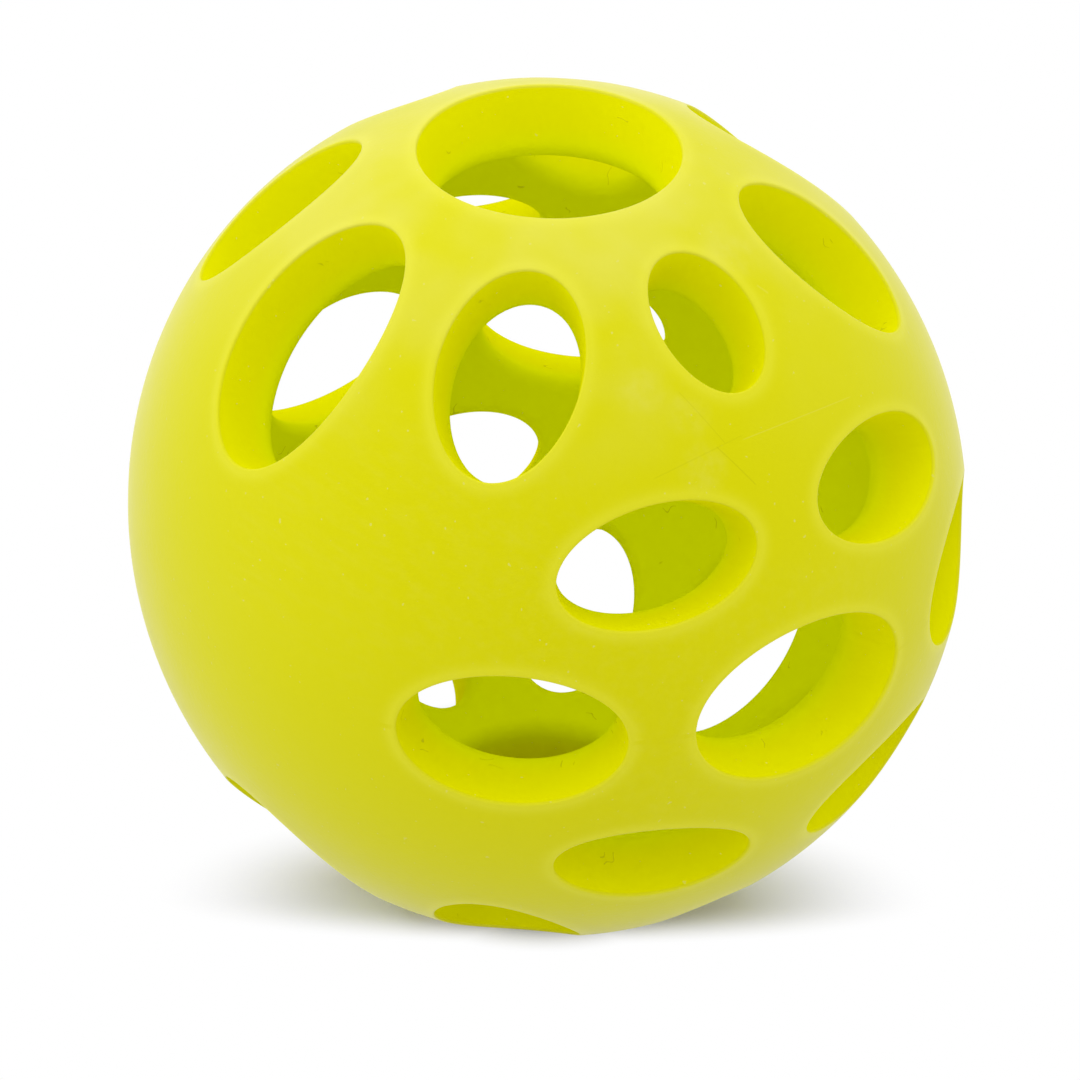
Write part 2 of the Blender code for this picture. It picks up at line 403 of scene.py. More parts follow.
# %% Node group: try one oval
VECTORS = ("Out", "Along", "Across", "Size")
FAR = 100.0     # added to the level of an oval on the other side of the ball
tree, got, sink = new_tree(
    "Try One Oval",
    [("Direction", "Vector"), ("Grow", "Float"), ("Out", "Vector"), ("Along", "Vector"), ("Across", "Vector"),
     ("Half Length", "Float"), ("Half Width", "Float"), ("Best Level", "Float")]
    + [("Best " + name, "Vector") for name in VECTORS],
    [("Level", "Float")] + [(name, "Vector") for name in VECTORS])
share_x = number(tree, 'DIVIDE', vector(tree, 'DOT_PRODUCT', got["Direction"], got["Along"]),
                 number(tree, 'ADD', got["Half Length"], got["Grow"]))
share_y = number(tree, 'DIVIDE', vector(tree, 'DOT_PRODUCT', got["Direction"], got["Across"]),
                 number(tree, 'ADD', got["Half Width"], got["Grow"]))
flat = put(tree, "ShaderNodeCombineXYZ", share_x, share_y, 0.0)
behind = number(tree, 'LESS_THAN', vector(tree, 'DOT_PRODUCT', got["Direction"], got["Out"]), 0.0)
level = number(tree, 'MULTIPLY_ADD', behind, FAR, length_of(tree, flat))
nearer = put(tree, "FunctionNodeCompare", level, got["Best Level"], data_type='FLOAT', operation='LESS_THAN')
size = put(tree, "ShaderNodeCombineXYZ", got["Half Length"], got["Half Width"], 0.0)
feed(tree, sink.inputs["Level"], number(tree, 'MINIMUM', level, got["Best Level"]))
for name, value in zip(VECTORS, (got["Out"], got["Along"], got["Across"], size)):
    feed(tree, sink.inputs[name],
         put(tree, "GeometryNodeSwitch", nearer, got["Best " + name], value, input_type='VECTOR'))
try_one_oval = tree
print("nodes to try one oval:", len(try_one_oval.nodes))

# %% Node group: nearest hole to a direction
TINY = 1e-7     # gives a coordinate of 0 a sign
tree, got, sink = new_tree(
    "Nearest Hole", [("Direction", "Vector"), ("Grow", "Float")],
    [("Level", "Float"), ("Out", "Vector"), ("Along", "Vector"), ("Across", "Vector"), ("Size", "Vector"),
     ("Turn", "Vector")])
folded = vector(tree, 'ABSOLUTE', got["Direction"])
signs = vector(tree, 'SIGN', vector(tree, 'ADD', got["Direction"], (TINY, TINY, TINY)))
best = {"Level": 10 * FAR, "Out": (0, 0, 1), "Along": (1, 0, 0), "Across": (0, 1, 0), "Size": (1, 1, 0)}
for hole in HOLES.values():
    middle, along, across = hole_axes(hole)
    half_length, half_width = half_sizes(hole)
    best = use(tree, try_one_oval, {
        "Direction": folded, "Grow": got["Grow"], "Out": middle, "Along": along, "Across": across,
        "Half Length": half_length, "Half Width": half_width,
        **{"Best " + name: value for name, value in best.items()}})
half_x, half_y = (put(tree, "ShaderNodeSeparateXYZ", best["Size"], out=i) for i in range(2))
turn_x = number(tree, 'DIVIDE', vector(tree, 'DOT_PRODUCT', folded, best["Along"]),
                number(tree, 'ADD', half_x, got["Grow"]))
turn_y = number(tree, 'DIVIDE', vector(tree, 'DOT_PRODUCT', folded, best["Across"]),
                number(tree, 'ADD', half_y, got["Grow"]))
feed(tree, sink.inputs["Level"], best["Level"])
feed(tree, sink.inputs["Size"], best["Size"])
feed(tree, sink.inputs["Turn"],
     vector(tree, 'NORMALIZE', put(tree, "ShaderNodeCombineXYZ", turn_x, turn_y, 0.0)))
for name in ("Out", "Along", "Across"):
    feed(tree, sink.inputs[name], vector(tree, 'MULTIPLY', best[name], signs))
nearest_hole = tree
print("search tree nodes:", len(nearest_hole.nodes))

# %% [markdown]
# The material wants to know how near a point is to the edge of its hole. The search knows: the level says
# by what share the point lies beyond the oval, and the oval's size in that direction makes it a distance.

# %% Nearness to a hole's edge
EDGE_REACH = 0.0012     # the rims are painted paler, as a glow of light through the thin rubber, within this distance of an edge


def nearness(tree, found, half_width):
    """1 at the edge of the nearest hole, falling to 0 a short way from it."""
    to_edge = length_of(tree, vector(tree, 'MULTIPLY', found["Size"], found["Turn"]))
    beyond = number(tree, 'MULTIPLY', number(tree, 'SUBTRACT', found["Level"], 1.0), to_edge)
    share = number(tree, 'DIVIDE', number(tree, 'MULTIPLY', beyond, half_width), EDGE_REACH)
    return number(tree, 'SUBTRACT', 1.0, number(tree, 'MINIMUM', number(tree, 'MAXIMUM', share, 0.0), 1.0))


print(f"rims look paler for {1000 * EDGE_REACH:.1f} mm")

# %% [markdown]
# ## A point on a hole's wall
#
# Every ring of a hole is the same oval, grown a little or not at all, at some depth in the wall. With the
# hole's directions, its size and a point's place round the oval stored on the mesh, this group puts the
# point on any ring. The walls are cones that aim at the middle of the ball, because depth is measured along
# the line to the centre. Points of the skin away from the rims move straight in instead, to a place that is
# stored for them.

# %% Node group: point of a hole's ring
tree, got, sink = new_tree(
    "Ring Point",
    [("Grow", "Float"), ("Depth", "Float"), ("Outer", "Vector"), ("Inner", "Vector")],
    [("Position", "Vector")])


def stored(tree, name, kind='FLOAT_VECTOR'):
    """Read a named attribute."""
    return put(tree, "GeometryNodeInputNamedAttribute", name, data_type=kind)


half_x, half_y = (put(tree, "ShaderNodeSeparateXYZ", stored(tree, "hole_size"), out=i) for i in range(2))
turn_x, turn_y = (put(tree, "ShaderNodeSeparateXYZ", stored(tree, "hole_turn"), out=i) for i in range(2))
x = number(tree, 'MULTIPLY', number(tree, 'ADD', half_x, got["Grow"]), turn_x)
y = number(tree, 'MULTIPLY', number(tree, 'ADD', half_y, got["Grow"]), turn_y)
square = number(tree, 'ADD', number(tree, 'MULTIPLY', x, x), number(tree, 'MULTIPLY', y, y))
rise = number(tree, 'SQRT', number(tree, 'SUBTRACT', 1.0, square))
reach = vector(tree, 'ADD', vector(tree, 'SCALE', stored(tree, "hole_along"), x),
               vector(tree, 'SCALE', stored(tree, "hole_across"), y))
on_rim = vector(tree, 'ADD', reach, vector(tree, 'SCALE', stored(tree, "hole_out"), rise))
off_rim = put(tree, "ShaderNodeMix", got["Depth"], stored(tree, "hole_way"), stored(tree, "hole_lining"),
              data_type='VECTOR')
way = put(tree, "GeometryNodeSwitch", stored(tree, "hole_rim", 'BOOLEAN'), vector(tree, 'NORMALIZE', off_rim),
          on_rim, input_type='VECTOR')
radii = put(tree, "ShaderNodeMix", got["Depth"], got["Outer"], got["Inner"], data_type='VECTOR')
feed(tree, sink.inputs["Position"], vector(tree, 'MULTIPLY', way, radii))
ring_point = tree
print("nodes to place a ring's points:", len(ring_point.nodes))

# %% [markdown]
# ## The half shell
#
# Each half is one thick moulding with 13 whole holes, and six half ones on the join. Booleans would cut
# them, but leave slivers along the rims, where smooth shading goes wrong. So the skin is grown to fit the
# holes instead. It starts as a cube with many small cells, blown up to a ball, so that its cells stay
# nearly square. The lower half goes, then every point inside a hole. What is left has ragged holes; the
# ragged edge is moved onto the true oval, and a few rounds of blurring even out the cells while the edge is
# held on the oval. The edge is then extruded inwards ring by ring: across a narrow band, round the crisp
# rim, down the wall and round the soft inner edge, where it meets a copy of the skin that makes the lining.

# %% Node tree: perforated half shell
RELAX_ROUNDS = 8
LINING_ROUNDS = 12
RIM_RINGS = 4
WALL_RINGS = 3
EDGE_RINGS = 6
SKIN_SHARE = 0.9985     # faces nearer the centre than this share of the radius are in a hole
RIM_BAND = 0.0004       # width of the row of narrow cells beside a rim, which keeps its shading crisp
STEEP = radians(50)     # edges sharper than this stay sharp
JOIN_REACH = 1e-4       # a point of the unit ball this near the middle plane is on the join
tree, got, sink = new_tree(
    "Perforated Half Shell",
    [("Geometry", "Geometry"), ("Width", "Float"), ("Depth", "Float"), ("Height", "Float"), ("Wall", "Float"),
     ("Rim Radius", "Float"), ("Edge Radius", "Float"), ("Join Face", "Float"), ("Cells", "Int"),
     ("Turn Over", "Float"), ("Rubber", "Material"), ("Hole Rubber", "Material")],
    [("Geometry", "Geometry")])
position = put(tree, "GeometryNodeInputPosition")
across_ball = put(tree, "ShaderNodeCombineXYZ", got["Width"], got["Depth"], got["Height"])
outer = vector(tree, 'SCALE', across_ball, 0.5)
wall = put(tree, "ShaderNodeCombineXYZ", got["Wall"], got["Wall"], got["Wall"])
inner = vector(tree, 'SUBTRACT', outer, wall)
half_width = number(tree, 'MULTIPLY', got["Width"], 0.5)
rim_grow = number(tree, 'DIVIDE', got["Rim Radius"], half_width)
edge_grow = number(tree, 'DIVIDE', got["Edge Radius"], half_width)
skin_grow = number(tree, 'ADD', rim_grow, number(tree, 'DIVIDE', RIM_BAND, half_width))


# These helpers add to the tree in hand, so the films can use them as well
def move(skin, place, selection=None):
    """Set the position of the selected points."""
    return put(tree, "GeometryNodeSetPosition", skin, selection, place)


def keep_value(skin, name, value, kind):
    """Store a value on the points under a name."""
    return put(tree, "GeometryNodeStoreNamedAttribute", skin, None, name, value, data_type=kind,
               domain='POINT')


def coated(piece, outer):
    """Give the outer skin one rubber and everything below it the other."""
    depth = length_of(tree, vector(tree, 'DIVIDE', position, outer))
    below = put(tree, "FunctionNodeCompare", depth, SKIN_SHARE, data_type='FLOAT', operation='LESS_THAN')
    piece = put(tree, "GeometryNodeSetMaterial", piece, None, got["Rubber"])
    return put(tree, "GeometryNodeSetMaterial", piece, below, got["Hole Rubber"])


def shaded(piece):
    """Shade a piece smooth, except across its steep edges."""
    piece = put(tree, "GeometryNodeSetShadeSmooth", piece, None, True, domain='FACE')
    steep = put(tree, "FunctionNodeCompare", put(tree, "GeometryNodeInputMeshEdgeAngle"), STEEP,
                data_type='FLOAT', operation='GREATER_THAN')
    return put(tree, "GeometryNodeSetShadeSmooth", piece, steep, False, domain='EDGE')


def low(limit):
    """True for points below a height."""
    height = put(tree, "ShaderNodeSeparateXYZ", position, out=2)
    return put(tree, "FunctionNodeCompare", height, limit, data_type='FLOAT', operation='LESS_THAN')


corners = number(tree, 'ADD', got["Cells"], 1.0)
skin = put(tree, "GeometryNodeMeshCube", (2.0, 2.0, 2.0), corners, corners, corners)
even = vector(tree, 'TANGENT', vector(tree, 'SCALE', position, pi / 4))
skin = move(skin, vector(tree, 'NORMALIZE', even))
skin = put(tree, "GeometryNodeDeleteGeometry", skin, low(-JOIN_REACH), domain='POINT', mode='ALL')
skin = keep_value(skin, "hole_join", low(JOIN_REACH), 'BOOLEAN')
found = use(tree, nearest_hole, {"Direction": position, "Grow": skin_grow})
inside = put(tree, "FunctionNodeCompare", found["Level"], 1.0, data_type='FLOAT', operation='LESS_THAN')
skin = put(tree, "GeometryNodeDeleteGeometry", skin, inside, domain='POINT', mode='ALL')
bare = put(tree, "FunctionNodeCompare", put(tree, "GeometryNodeInputMeshEdgeNeighbors"), 0, data_type='INT',
           operation='EQUAL')
skin = put(tree, "GeometryNodeDeleteGeometry", skin, bare, domain='EDGE', mode='EDGE_FACE')
lone = put(tree, "FunctionNodeCompare", put(tree, "GeometryNodeInputMeshVertexNeighbors", out=1), 0,
           data_type='INT', operation='EQUAL')
skin = put(tree, "GeometryNodeDeleteGeometry", skin, lone, domain='POINT', mode='ALL')
print("nodes for the skin with ragged holes:", len(tree.nodes))

# %% Node tree: put the ragged edges on their ovals
on_join = stored(tree, "hole_join", 'BOOLEAN')
open_edge = put(tree, "FunctionNodeCompare", put(tree, "GeometryNodeInputMeshEdgeNeighbors"), 1,
                data_type='INT', operation='EQUAL')
# An edge lies on the join if both its ends do, which makes its share 1 and not 0.5 or 0
join_share = put(tree, "GeometryNodeFieldOnDomain",
                 put(tree, "GeometryNodeSwitch", on_join, 0.0, 1.0, input_type='FLOAT'),
                 data_type='FLOAT', domain='EDGE')
off_join = put(tree, "FunctionNodeCompare", join_share, 0.9, data_type='FLOAT', operation='LESS_THAN')
rim_edge = put(tree, "GeometryNodeFieldOnDomain",
               put(tree, "FunctionNodeBooleanMath", open_edge, off_join, operation='AND'),
               data_type='BOOLEAN', domain='EDGE')
skin = keep_value(skin, "hole_rim", rim_edge, 'BOOLEAN')
on_rim = stored(tree, "hole_rim", 'BOOLEAN')
off_rim = put(tree, "FunctionNodeBooleanMath", on_rim, operation='NOT')


def onto_oval(skin):
    """Move the rim points onto the oval of their hole."""
    found = use(tree, nearest_hole, {"Direction": position, "Grow": skin_grow})
    size = vector(tree, 'ADD', found["Size"],
                  put(tree, "ShaderNodeCombineXYZ", skin_grow, skin_grow, 0.0))
    flat = vector(tree, 'MULTIPLY', size, found["Turn"])
    x, y = (put(tree, "ShaderNodeSeparateXYZ", flat, out=i) for i in range(2))
    rise = number(tree, 'SQRT', number(tree, 'SUBTRACT', 1.0, vector(tree, 'DOT_PRODUCT', flat, flat)))
    place = vector(tree, 'ADD', vector(tree, 'SCALE', found["Along"], x),
                   vector(tree, 'SCALE', found["Across"], y))
    return move(skin, vector(tree, 'ADD', place, vector(tree, 'SCALE', found["Out"], rise)), on_rim)


level_join = put(tree, "GeometryNodeSwitch", on_join, (1.0, 1.0, 1.0), (1.0, 1.0, 0.0), input_type='VECTOR')
skin = onto_oval(skin)
for _ in range(RELAX_ROUNDS):
    softened = put(tree, "GeometryNodeBlurAttribute", position, 1, 1.0, data_type='FLOAT_VECTOR')
    skin = move(skin, vector(tree, 'NORMALIZE', vector(tree, 'MULTIPLY', softened, level_join)))
    skin = onto_oval(skin)
print("nodes with the edges on their ovals:", len(tree.nodes))

# %% Node tree: rims, walls and lining
found = use(tree, nearest_hole, {"Direction": position, "Grow": skin_grow})
for name in ("Out", "Along", "Across", "Size", "Turn"):
    skin = keep_value(skin, "hole_" + name.lower(), found[name], 'FLOAT_VECTOR')
skin = keep_value(skin, "hole_way", position, 'FLOAT_VECTOR')
skin = keep_value(skin, EDGE_NEARNESS, nearness(tree, found, half_width), 'FLOAT')


def ring(grow, depth):
    """Place of a ring's points."""
    return use(tree, ring_point, {"Grow": grow, "Depth": depth, "Outer": outer, "Inner": inner})["Position"]


rim_depth = number(tree, 'DIVIDE', got["Rim Radius"], got["Wall"])
edge_depth = number(tree, 'DIVIDE', got["Edge Radius"], got["Wall"])
rings = [(rim_grow, 0.0)]
for i in range(1, RIM_RINGS + 1):
    angle = pi / 2 * i / RIM_RINGS
    rings.append((number(tree, 'MULTIPLY', rim_grow, 1 - sin(angle)),
                  number(tree, 'MULTIPLY', rim_depth, 1 - cos(angle))))
edge_top = number(tree, 'SUBTRACT', 1.0, edge_depth)
for i in range(1, WALL_RINGS + 1):
    span = number(tree, 'SUBTRACT', edge_top, rim_depth)
    rings.append((0.0, number(tree, 'MULTIPLY_ADD', span, i / WALL_RINGS, rim_depth)))
for i in range(1, EDGE_RINGS + 1):
    angle = pi / 2 * i / EDGE_RINGS
    rings.append((number(tree, 'MULTIPLY', edge_grow, 1 - cos(angle)),
                  number(tree, 'MULTIPLY_ADD', edge_depth, sin(angle), edge_top)))

# The lining's holes are wider by the soft inner edge, so its cells are evened out again
ball = (1.0, 1.0, 1.0)
wide_rim = use(tree, ring_point, {"Grow": edge_grow, "Depth": 0.0, "Outer": ball, "Inner": ball})["Position"]
lining = move(skin, wide_rim, on_rim)
for _ in range(LINING_ROUNDS):
    softened = put(tree, "GeometryNodeBlurAttribute", position, 1, 1.0, data_type='FLOAT_VECTOR')
    lining = move(lining, vector(tree, 'NORMALIZE', vector(tree, 'MULTIPLY', softened, level_join)), off_rim)
place_in_lining = put(tree, "GeometryNodeSampleIndex", lining, position, put(tree, "GeometryNodeInputIndex"),
                      data_type='FLOAT_VECTOR', domain='POINT')
skin = keep_value(skin, "hole_lining", place_in_lining, 'FLOAT_VECTOR')
lining = move(put(tree, "GeometryNodeFlipFaces", skin), ring(edge_grow, 1.0))

WELD = 2e-6     # points nearer than this become one
shell = move(skin, vector(tree, 'MULTIPLY', position, outer))
edge = open_edge
for grow, depth in rings:
    extrude = tree.nodes.new("GeometryNodeExtrudeMesh")
    extrude.mode = 'EDGES'
    feed(tree, extrude.inputs["Mesh"], shell)
    feed(tree, extrude.inputs["Selection"], edge)
    feed(tree, extrude.inputs["Offset Scale"], 0.0)
    edge = extrude.outputs["Top"]
    shell = move(extrude.outputs["Mesh"], ring(grow, depth), edge)
both = tree.nodes.new("GeometryNodeJoinGeometry")
for part in (shell, lining):
    tree.links.new(part, both.inputs[0])
shell = put(tree, "GeometryNodeMergeByDistance", both.outputs[0], None, WELD)
lift = vector(tree, 'ADD', vector(tree, 'MULTIPLY', position, (1.0, 1.0, 0.0)),
              put(tree, "ShaderNodeCombineXYZ", 0.0, 0.0, got["Join Face"]))
shell = move(shell, lift, on_join)
over = put(tree, "ShaderNodeCombineXYZ", got["Turn Over"], 0.0, 0.0)
shell = put(tree, "GeometryNodeTransform", shell, None, put(tree, "FunctionNodeEulerToRotation", over))
shell = shaded(shell)
shell = put(tree, "GeometryNodeRemoveAttribute", shell, "hole_*", pattern_mode='WILDCARD')
shell = put(tree, "GeometryNodeRealizeInstances", shell)
feed(tree, sink.inputs["Geometry"], coated(shell, outer))
half_shell_tree = tree
print("half shell tree nodes:", len(half_shell_tree.nodes))

# %% [markdown]
# ## From tree to piece
#
# A node tree makes nothing until an object runs it. An empty mesh carries the tree as a modifier, with the
# sizes set on its inputs. The result is copied to a plain mesh, because a piece that is handed over may not
# depend on live nodes, and the carrier is thrown away. Counting open edges shows whether the shell is
# closed.

# %% Run a tree and keep its mesh


def grown(name, tree, values):
    """Run a node tree with its inputs set by identifier, and keep the result as a plain mesh object."""
    seed = bpy.data.objects.new(name + "_seed", bpy.data.meshes.new(name + "_seed"))
    bpy.context.scene.collection.objects.link(seed)
    modifier = seed.modifiers.new("grow", 'NODES')
    modifier.node_group = tree
    for item in tree.interface.items_tree:
        if item.in_out == 'INPUT' and item.name in values:
            modifier[item.identifier] = values[item.name]
    bpy.context.view_layer.update()
    grown_seed = seed.evaluated_get(bpy.context.evaluated_depsgraph_get())
    mesh = bpy.data.meshes.new_from_object(grown_seed)
    mesh.name = name
    seed.modifiers.remove(modifier)
    bpy.data.objects.remove(seed)
    piece = bpy.data.objects.new(name, mesh)
    bpy.context.scene.collection.objects.link(piece)
    bm = bmesh.new()
    bm.from_mesh(mesh)
    loose = [e for e in bm.edges if len(e.link_faces) != 2]
    print(f"{name}: {len(bm.faces)} faces, {len(loose)} open edges, volume {bm.calc_volume() * 1e6:.2f} cm3")
    bm.free()
    return piece


CELLS = 100     # along each edge of the cube that the skin starts as
sizes = {"Width": WIDTH, "Depth": DEPTH, "Height": HEIGHT, "Wall": WALL, "Rim Radius": RIM_RADIUS,
         "Edge Radius": EDGE_RADIUS, "Join Face": FILM / 2 + HAIR_GAP, "Cells": CELLS, "Rubber": rubber,
         "Hole Rubber": hole_rubber}
for name, turn_over in (("upper_half", 0.0), ("lower_half", pi)):
    piece = grown(name, half_shell_tree, {**sizes, "Turn Over": turn_over})
    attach(piece, "root")
    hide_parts(name + "_shell")

# %% [markdown]
# ## The cement films
#
# The six holes on the join divide the cement line into two wide films under the bare patches and four
# narrow ones. Each film fills the slit between the halves exactly, so its ends follow the rounded rims and
# walls of the holes. A curve swept round the ball couldn't do that, so a film starts as a flat grid block;
# one coordinate becomes the way round the ball, one the depth in the wall and one the height. Cement made
# for rubber leaves no line to see, so the films get the same finish.

# %% Node tree: cement film
DEPTH_CORNERS, HEIGHT_CORNERS = 25, 2
tree, got, sink = new_tree(
    "Cement Film",
    [("Geometry", "Geometry"), ("Width", "Float"), ("Depth", "Float"), ("Wall", "Float"), ("Film", "Float"),
     ("Rim Radius", "Float"), ("Edge Radius", "Float"), ("Start Around", "Float"), ("Start Share", "Float"),
     ("End Around", "Float"), ("End Share", "Float"), ("Steps", "Int"),
     ("Rubber", "Material"), ("Hole Rubber", "Material")],
    [("Geometry", "Geometry")])
position = put(tree, "GeometryNodeInputPosition")
block = put(tree, "GeometryNodeMeshCube", (1.0, 1.0, 1.0), got["Steps"], DEPTH_CORNERS, HEIGHT_CORNERS)
along, across, height = (put(tree, "ShaderNodeSeparateXYZ", position, out=i) for i in range(3))
# Depth bunches its steps near both faces, where the edges are rounded
swing = number(tree, 'SINE', number(tree, 'MULTIPLY', across, pi))
depth = number(tree, 'MULTIPLY', number(tree, 'MULTIPLY_ADD', swing, -0.5, 0.5), got["Wall"])


def rounding(radius, distance):
    """How much a rounded edge widens the hole at a distance from its face."""
    share = number(tree, 'DIVIDE', distance, radius)
    near = number(tree, 'MAXIMUM', number(tree, 'SUBTRACT', 1.0, share), 0.0)
    drop = number(tree, 'SQRT', number(tree, 'SUBTRACT', 1.0, number(tree, 'MULTIPLY', near, near)))
    return number(tree, 'MULTIPLY', radius, number(tree, 'SUBTRACT', 1.0, drop))


widening = number(tree, 'ADD', rounding(got["Rim Radius"], depth),
                  rounding(got["Edge Radius"], number(tree, 'SUBTRACT', got["Wall"], depth)))
half_width = number(tree, 'MULTIPLY', got["Width"], 0.5)
grow = number(tree, 'DIVIDE', widening, half_width)
start = number(tree, 'ADD', got["Start Around"],
               number(tree, 'ARCSINE', number(tree, 'ADD', got["Start Share"], grow)))
end = number(tree, 'SUBTRACT', got["End Around"],
             number(tree, 'ARCSINE', number(tree, 'ADD', got["End Share"], grow)))
share = number(tree, 'ADD', along, 0.5)
angle = number(tree, 'MULTIPLY_ADD', number(tree, 'SUBTRACT', end, start), share, start)
inward = number(tree, 'MULTIPLY', depth, -1.0)
place = put(tree, "ShaderNodeCombineXYZ",
            number(tree, 'MULTIPLY', number(tree, 'MULTIPLY_ADD', got["Width"], 0.5, inward),
                   number(tree, 'COSINE', angle)),
            number(tree, 'MULTIPLY', number(tree, 'MULTIPLY_ADD', got["Depth"], 0.5, inward),
                   number(tree, 'SINE', angle)),
            number(tree, 'MULTIPLY', height, got["Film"]))
film = move(block, place)
across_ball = put(tree, "ShaderNodeCombineXYZ", got["Width"], got["Depth"], got["Width"])
direction = vector(tree, 'NORMALIZE', vector(tree, 'DIVIDE', position, across_ball))
found = use(tree, nearest_hole, {"Direction": direction,
                                 "Grow": number(tree, 'DIVIDE', got["Rim Radius"], half_width)})
film = keep_value(film, EDGE_NEARNESS, nearness(tree, found, half_width), 'FLOAT')
film = put(tree, "GeometryNodeRealizeInstances", shaded(film))
feed(tree, sink.inputs["Geometry"], coated(film, vector(tree, 'SCALE', across_ball, 0.5)))
film_tree = tree
print("film tree nodes:", len(film_tree.nodes))

# %% Make the six films
centre, side = HOLES["join centre"], HOLES["join side"]
around = radians(side.around)
film_sizes = {"Width": WIDTH, "Depth": DEPTH, "Wall": WALL, "Film": FILM, "Rim Radius": RIM_RADIUS,
              "Edge Radius": EDGE_RADIUS, "Rubber": rubber, "Hole Rubber": hole_rubber}
PATCH_STEPS, STRUT_STEPS = 60, 12
centre_end, side_end = half_sizes(centre)[0], half_sizes(side)[0]
strut = (0.0, centre_end, around, side_end)
patch = (around, side_end, pi - around, side_end)


def swept(span, turn, mirrored):
    """A film's two ends, turned round the ball or mirrored across the XZ plane first."""
    start_around, start_share, end_around, end_share = span
    if mirrored:
        start_around, end_around = -end_around, -start_around
        start_share, end_share = end_share, start_share
    return {"Start Around": start_around + turn, "Start Share": start_share,
            "End Around": end_around + turn, "End Share": end_share}


FILMS = {
    "patch_back": (patch, 0.0, False, PATCH_STEPS),
    "patch_front": (patch, 0.0, True, PATCH_STEPS),
    "strut_right_back": (strut, 0.0, False, STRUT_STEPS),
    "strut_right_front": (strut, 0.0, True, STRUT_STEPS),
    "strut_left_front": (strut, pi, False, STRUT_STEPS),
    "strut_left_back": (strut, pi, True, STRUT_STEPS),
}
for name, (span, turn, mirrored, steps) in FILMS.items():
    piece = grown("film_" + name, film_tree, {**film_sizes, **swept(span, turn, mirrored), "Steps": steps})
    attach(piece, "root")
    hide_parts("bond_" + name)

# %% [markdown]
# ## Floor
#
# The ball stands on the rim of its lower pole hole on plain white paper. In a picture of a product the
# paper turns to pure white away from the object and keeps only its soft shadow. A lamp strong enough for
# that would bleach the ball as well, so the paper's material mixes in white for rays that come straight
# from the camera, everywhere but in a soft patch round the ball's foot.

# %% Floor
SHADOW_WIDTH = 0.033                        # half width of the patch of floor that shows the shadow
SHADOW_FRONT, SHADOW_BACK = 0.0066, 0.0140  # its reach towards the camera and away from it
SHADOW_AHEAD = 0.0090                       # from the ball's foot towards the camera to its middle
FADE_START, FADE_END = 0.45, 1.10           # shares of those reaches
ROUND_BEHIND = 0.0040                       # from the foot back to a round patch for views from other sides
ROUND_START, ROUND_END = 0.0160, 0.0215     # radii of that patch
FLOOR_HALF = 4.0
PAPER_WHITE = (0.78, 0.78, 1.00, 1.0)       # bluish, to make up for the yellow that the ball throws on it
CAMERA_AROUND = radians(53.4)               # from -Y towards +X
ahead = Vector((sin(CAMERA_AROUND), -cos(CAMERA_AROUND), 0))
right = Vector((0, 0, 1)).cross(ahead)
floor_mesh = bpy.data.meshes.new("floor")
foot_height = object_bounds()[0].z
corners = [(FLOOR_HALF * x, FLOOR_HALF * y, foot_height) for x, y in ((-1, -1), (1, -1), (1, 1), (-1, 1))]
floor_mesh.from_pydata(corners, [], [(0, 1, 2, 3)])
floor = bpy.data.objects.new("floor", floor_mesh)
bpy.context.scene.collection.objects.link(floor)
paper = bpy.data.materials.new("white_paper")
paper.use_nodes = True
tree = paper.node_tree
paper_shader = tree.nodes["Principled BSDF"]
paper_shader.inputs["Base Color"].default_value = PAPER_WHITE
paper_shader.inputs["Roughness"].default_value = 0.9
paper_shader.inputs["Specular IOR Level"].default_value = 0.0
floor_mesh.materials.append(paper)
print(f"floor at {1000 * foot_height:.2f} mm")

# %% Floor: white away from the ball


def seen_directly(tree):
    """1 for rays that show the background: from the camera, or by way of a mirror or glass."""
    path = tree.nodes.new("ShaderNodeLightPath")
    seen = number(tree, 'MAXIMUM', path.outputs["Is Camera Ray"], path.outputs["Is Glossy Ray"])
    return number(tree, 'MAXIMUM', seen, path.outputs["Is Transmission Ray"])


foot = vector(tree, 'MULTIPLY', put(tree, "ShaderNodeTexCoord", out=3), (1.0, 1.0, 0.0))
forward = vector(tree, 'SUBTRACT', foot, ahead * SHADOW_AHEAD)
backward = vector(tree, 'ADD', foot, ahead * ROUND_BEHIND)
reach = number(tree, 'MAXIMUM', vector(tree, 'DOT_PRODUCT', forward, ahead / SHADOW_FRONT),
               vector(tree, 'DOT_PRODUCT', forward, -ahead / SHADOW_BACK))
sideways = vector(tree, 'DOT_PRODUCT', forward, right / SHADOW_WIDTH)
share = put(tree, "ShaderNodeCombineXYZ", sideways, reach, 0.0)
fade = number(tree, 'MINIMUM', ramp(tree, length_of(tree, share), FADE_START, FADE_END),
              ramp(tree, length_of(tree, backward), ROUND_START, ROUND_END))
white = put(tree, "ShaderNodeEmission", (1.0, 1.0, 1.0, 1.0), 1.0)
mixed = put(tree, "ShaderNodeMixShader", number(tree, 'MULTIPLY', fade, seen_directly(tree)),
            paper_shader.outputs["BSDF"], white)
feed(tree, tree.nodes["Material Output"].inputs["Surface"], mixed)
print("paper nodes:", len(tree.nodes))

# %% [markdown]
# ## Camera
#
# The holes and the outline together give the photograph's angle. A long lens from some way off keeps the
# holes near the outline as wide as they are there; a short one would squeeze them.

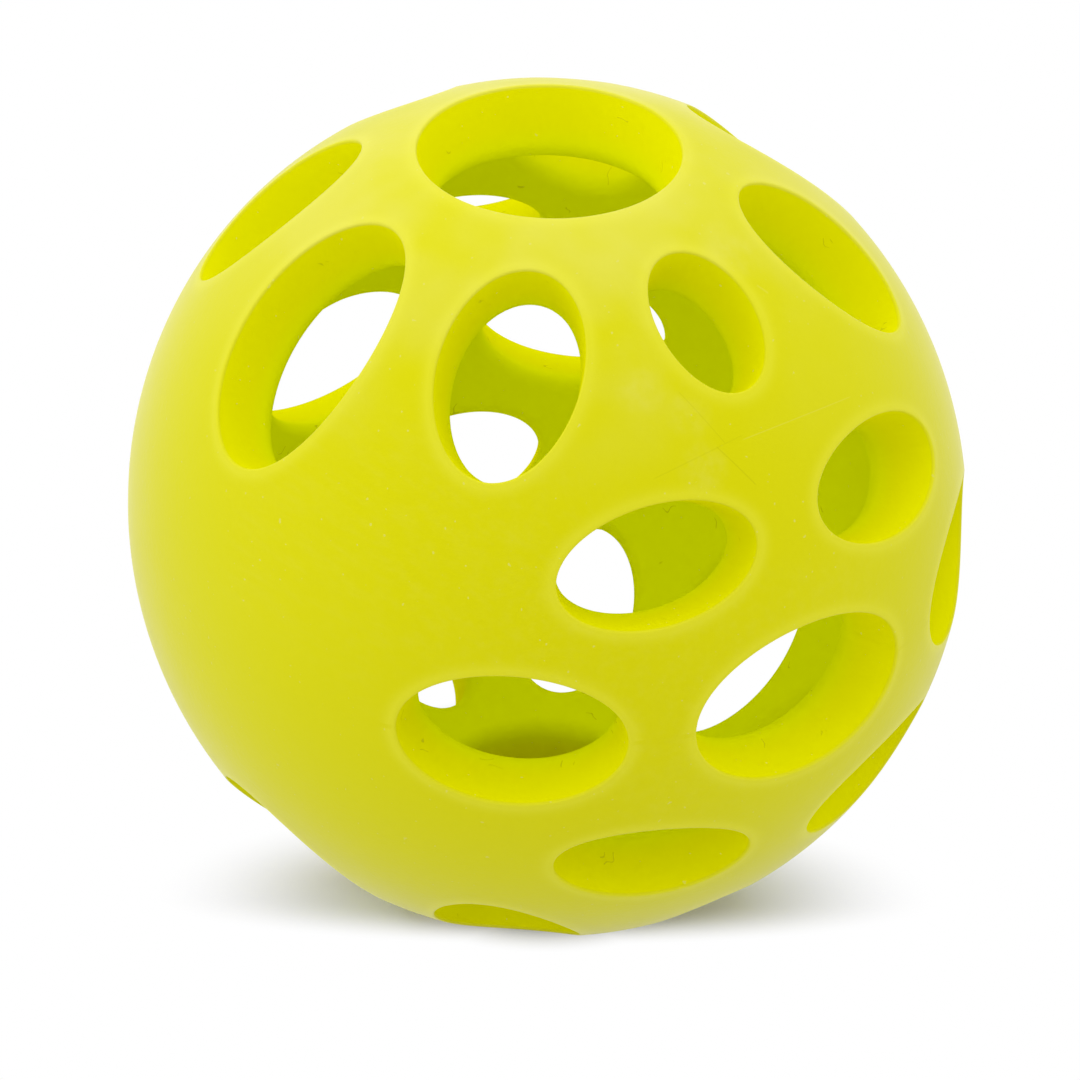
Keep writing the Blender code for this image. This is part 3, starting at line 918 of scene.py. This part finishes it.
# %% Camera
CAMERA_ELEVATION = radians(32.5)
CAMERA_ROLL = radians(0.4)
CAMERA_DISTANCE = 0.611
LENS = 227.0                            # millimetres, on the sensor below
SENSOR_WIDTH = 36.0
NEAREST = 0.01                          # the camera shows nothing nearer than this
AIM_RIGHT, AIM_UP = -0.00057, -0.00292  # where the camera looks, from the centre of the ball
toward = ahead * cos(CAMERA_ELEVATION) + Vector((0, 0, sin(CAMERA_ELEVATION)))
up = toward.cross(right)
camera_data = bpy.data.cameras.new("camera")
camera_data.lens = LENS
camera_data.sensor_width = SENSOR_WIDTH
camera_data.clip_start = NEAREST
camera = bpy.data.objects.new("camera", camera_data)
bpy.context.scene.collection.objects.link(camera)
camera.location = toward * CAMERA_DISTANCE
gaze = right * AIM_RIGHT + up * AIM_UP - camera.location
camera.rotation_euler = (gaze.to_track_quat('-Z', 'Y').to_matrix().to_4x4()
                         @ Matrix.Rotation(CAMERA_ROLL, 4, 'Z')).to_euler()
bpy.context.scene.camera = camera
print("camera at", [round(c, 3) for c in camera.location])

# %% [markdown]
# ## Light
#
# A bright even surround does most of the lighting, as a light tent would, and reaches far into the holes.
# Five soft panels shape the ball: one in front, one above, one on each side, the left one the strongest,
# and one behind that lights the far walls. Hard lamps would draw sharp shadows of the holes on the lining.

# %% Light: bright surround
TENT_LIGHT = 0.612
world = bpy.data.worlds.new("light_tent")
bpy.context.scene.world = world
world.use_nodes = True
tree = world.node_tree
background = tree.nodes["Background"]
background.inputs["Color"].default_value = (1.0, 1.0, 1.0, 1.0)
feed(tree, background.inputs["Strength"],
     number(tree, 'MULTIPLY_ADD', seen_directly(tree), 1.0 - TENT_LIGHT, TENT_LIGHT))
print("surround at", TENT_LIGHT, "of white")

# %% Light: soft panels
PANEL_DISTANCE = 1.2
PANEL_SIZE = 0.9
overhead = Vector((0, 0, 1))
# Direction from the ball, and watts
PANELS = {
    "front_panel": (toward + up * 0.3 - right * 0.2, 2.1),
    "top_panel": (overhead + toward * 0.05, 1.75),
    "left_panel": (toward * 0.2 + up * 0.5 - right, 3.1),
    "right_panel": (toward * 0.2 + up * 0.5 + right, 2.1),
    "back_panel": (overhead * 0.8 - toward * 0.6, 2.9),
}
for name, (direction, watts) in PANELS.items():
    data = bpy.data.lights.new(name, 'AREA')
    data.size = PANEL_SIZE
    data.energy = watts
    lamp = bpy.data.objects.new(name, data)
    lamp.location = direction.normalized() * PANEL_DISTANCE
    lamp.rotation_euler = (-direction).to_track_quat('-Z', 'Y').to_euler()
    bpy.context.scene.collection.objects.link(lamp)
    print(f"{name}: {watts} W")
bpy.context.scene.view_settings.view_transform = 'Standard'
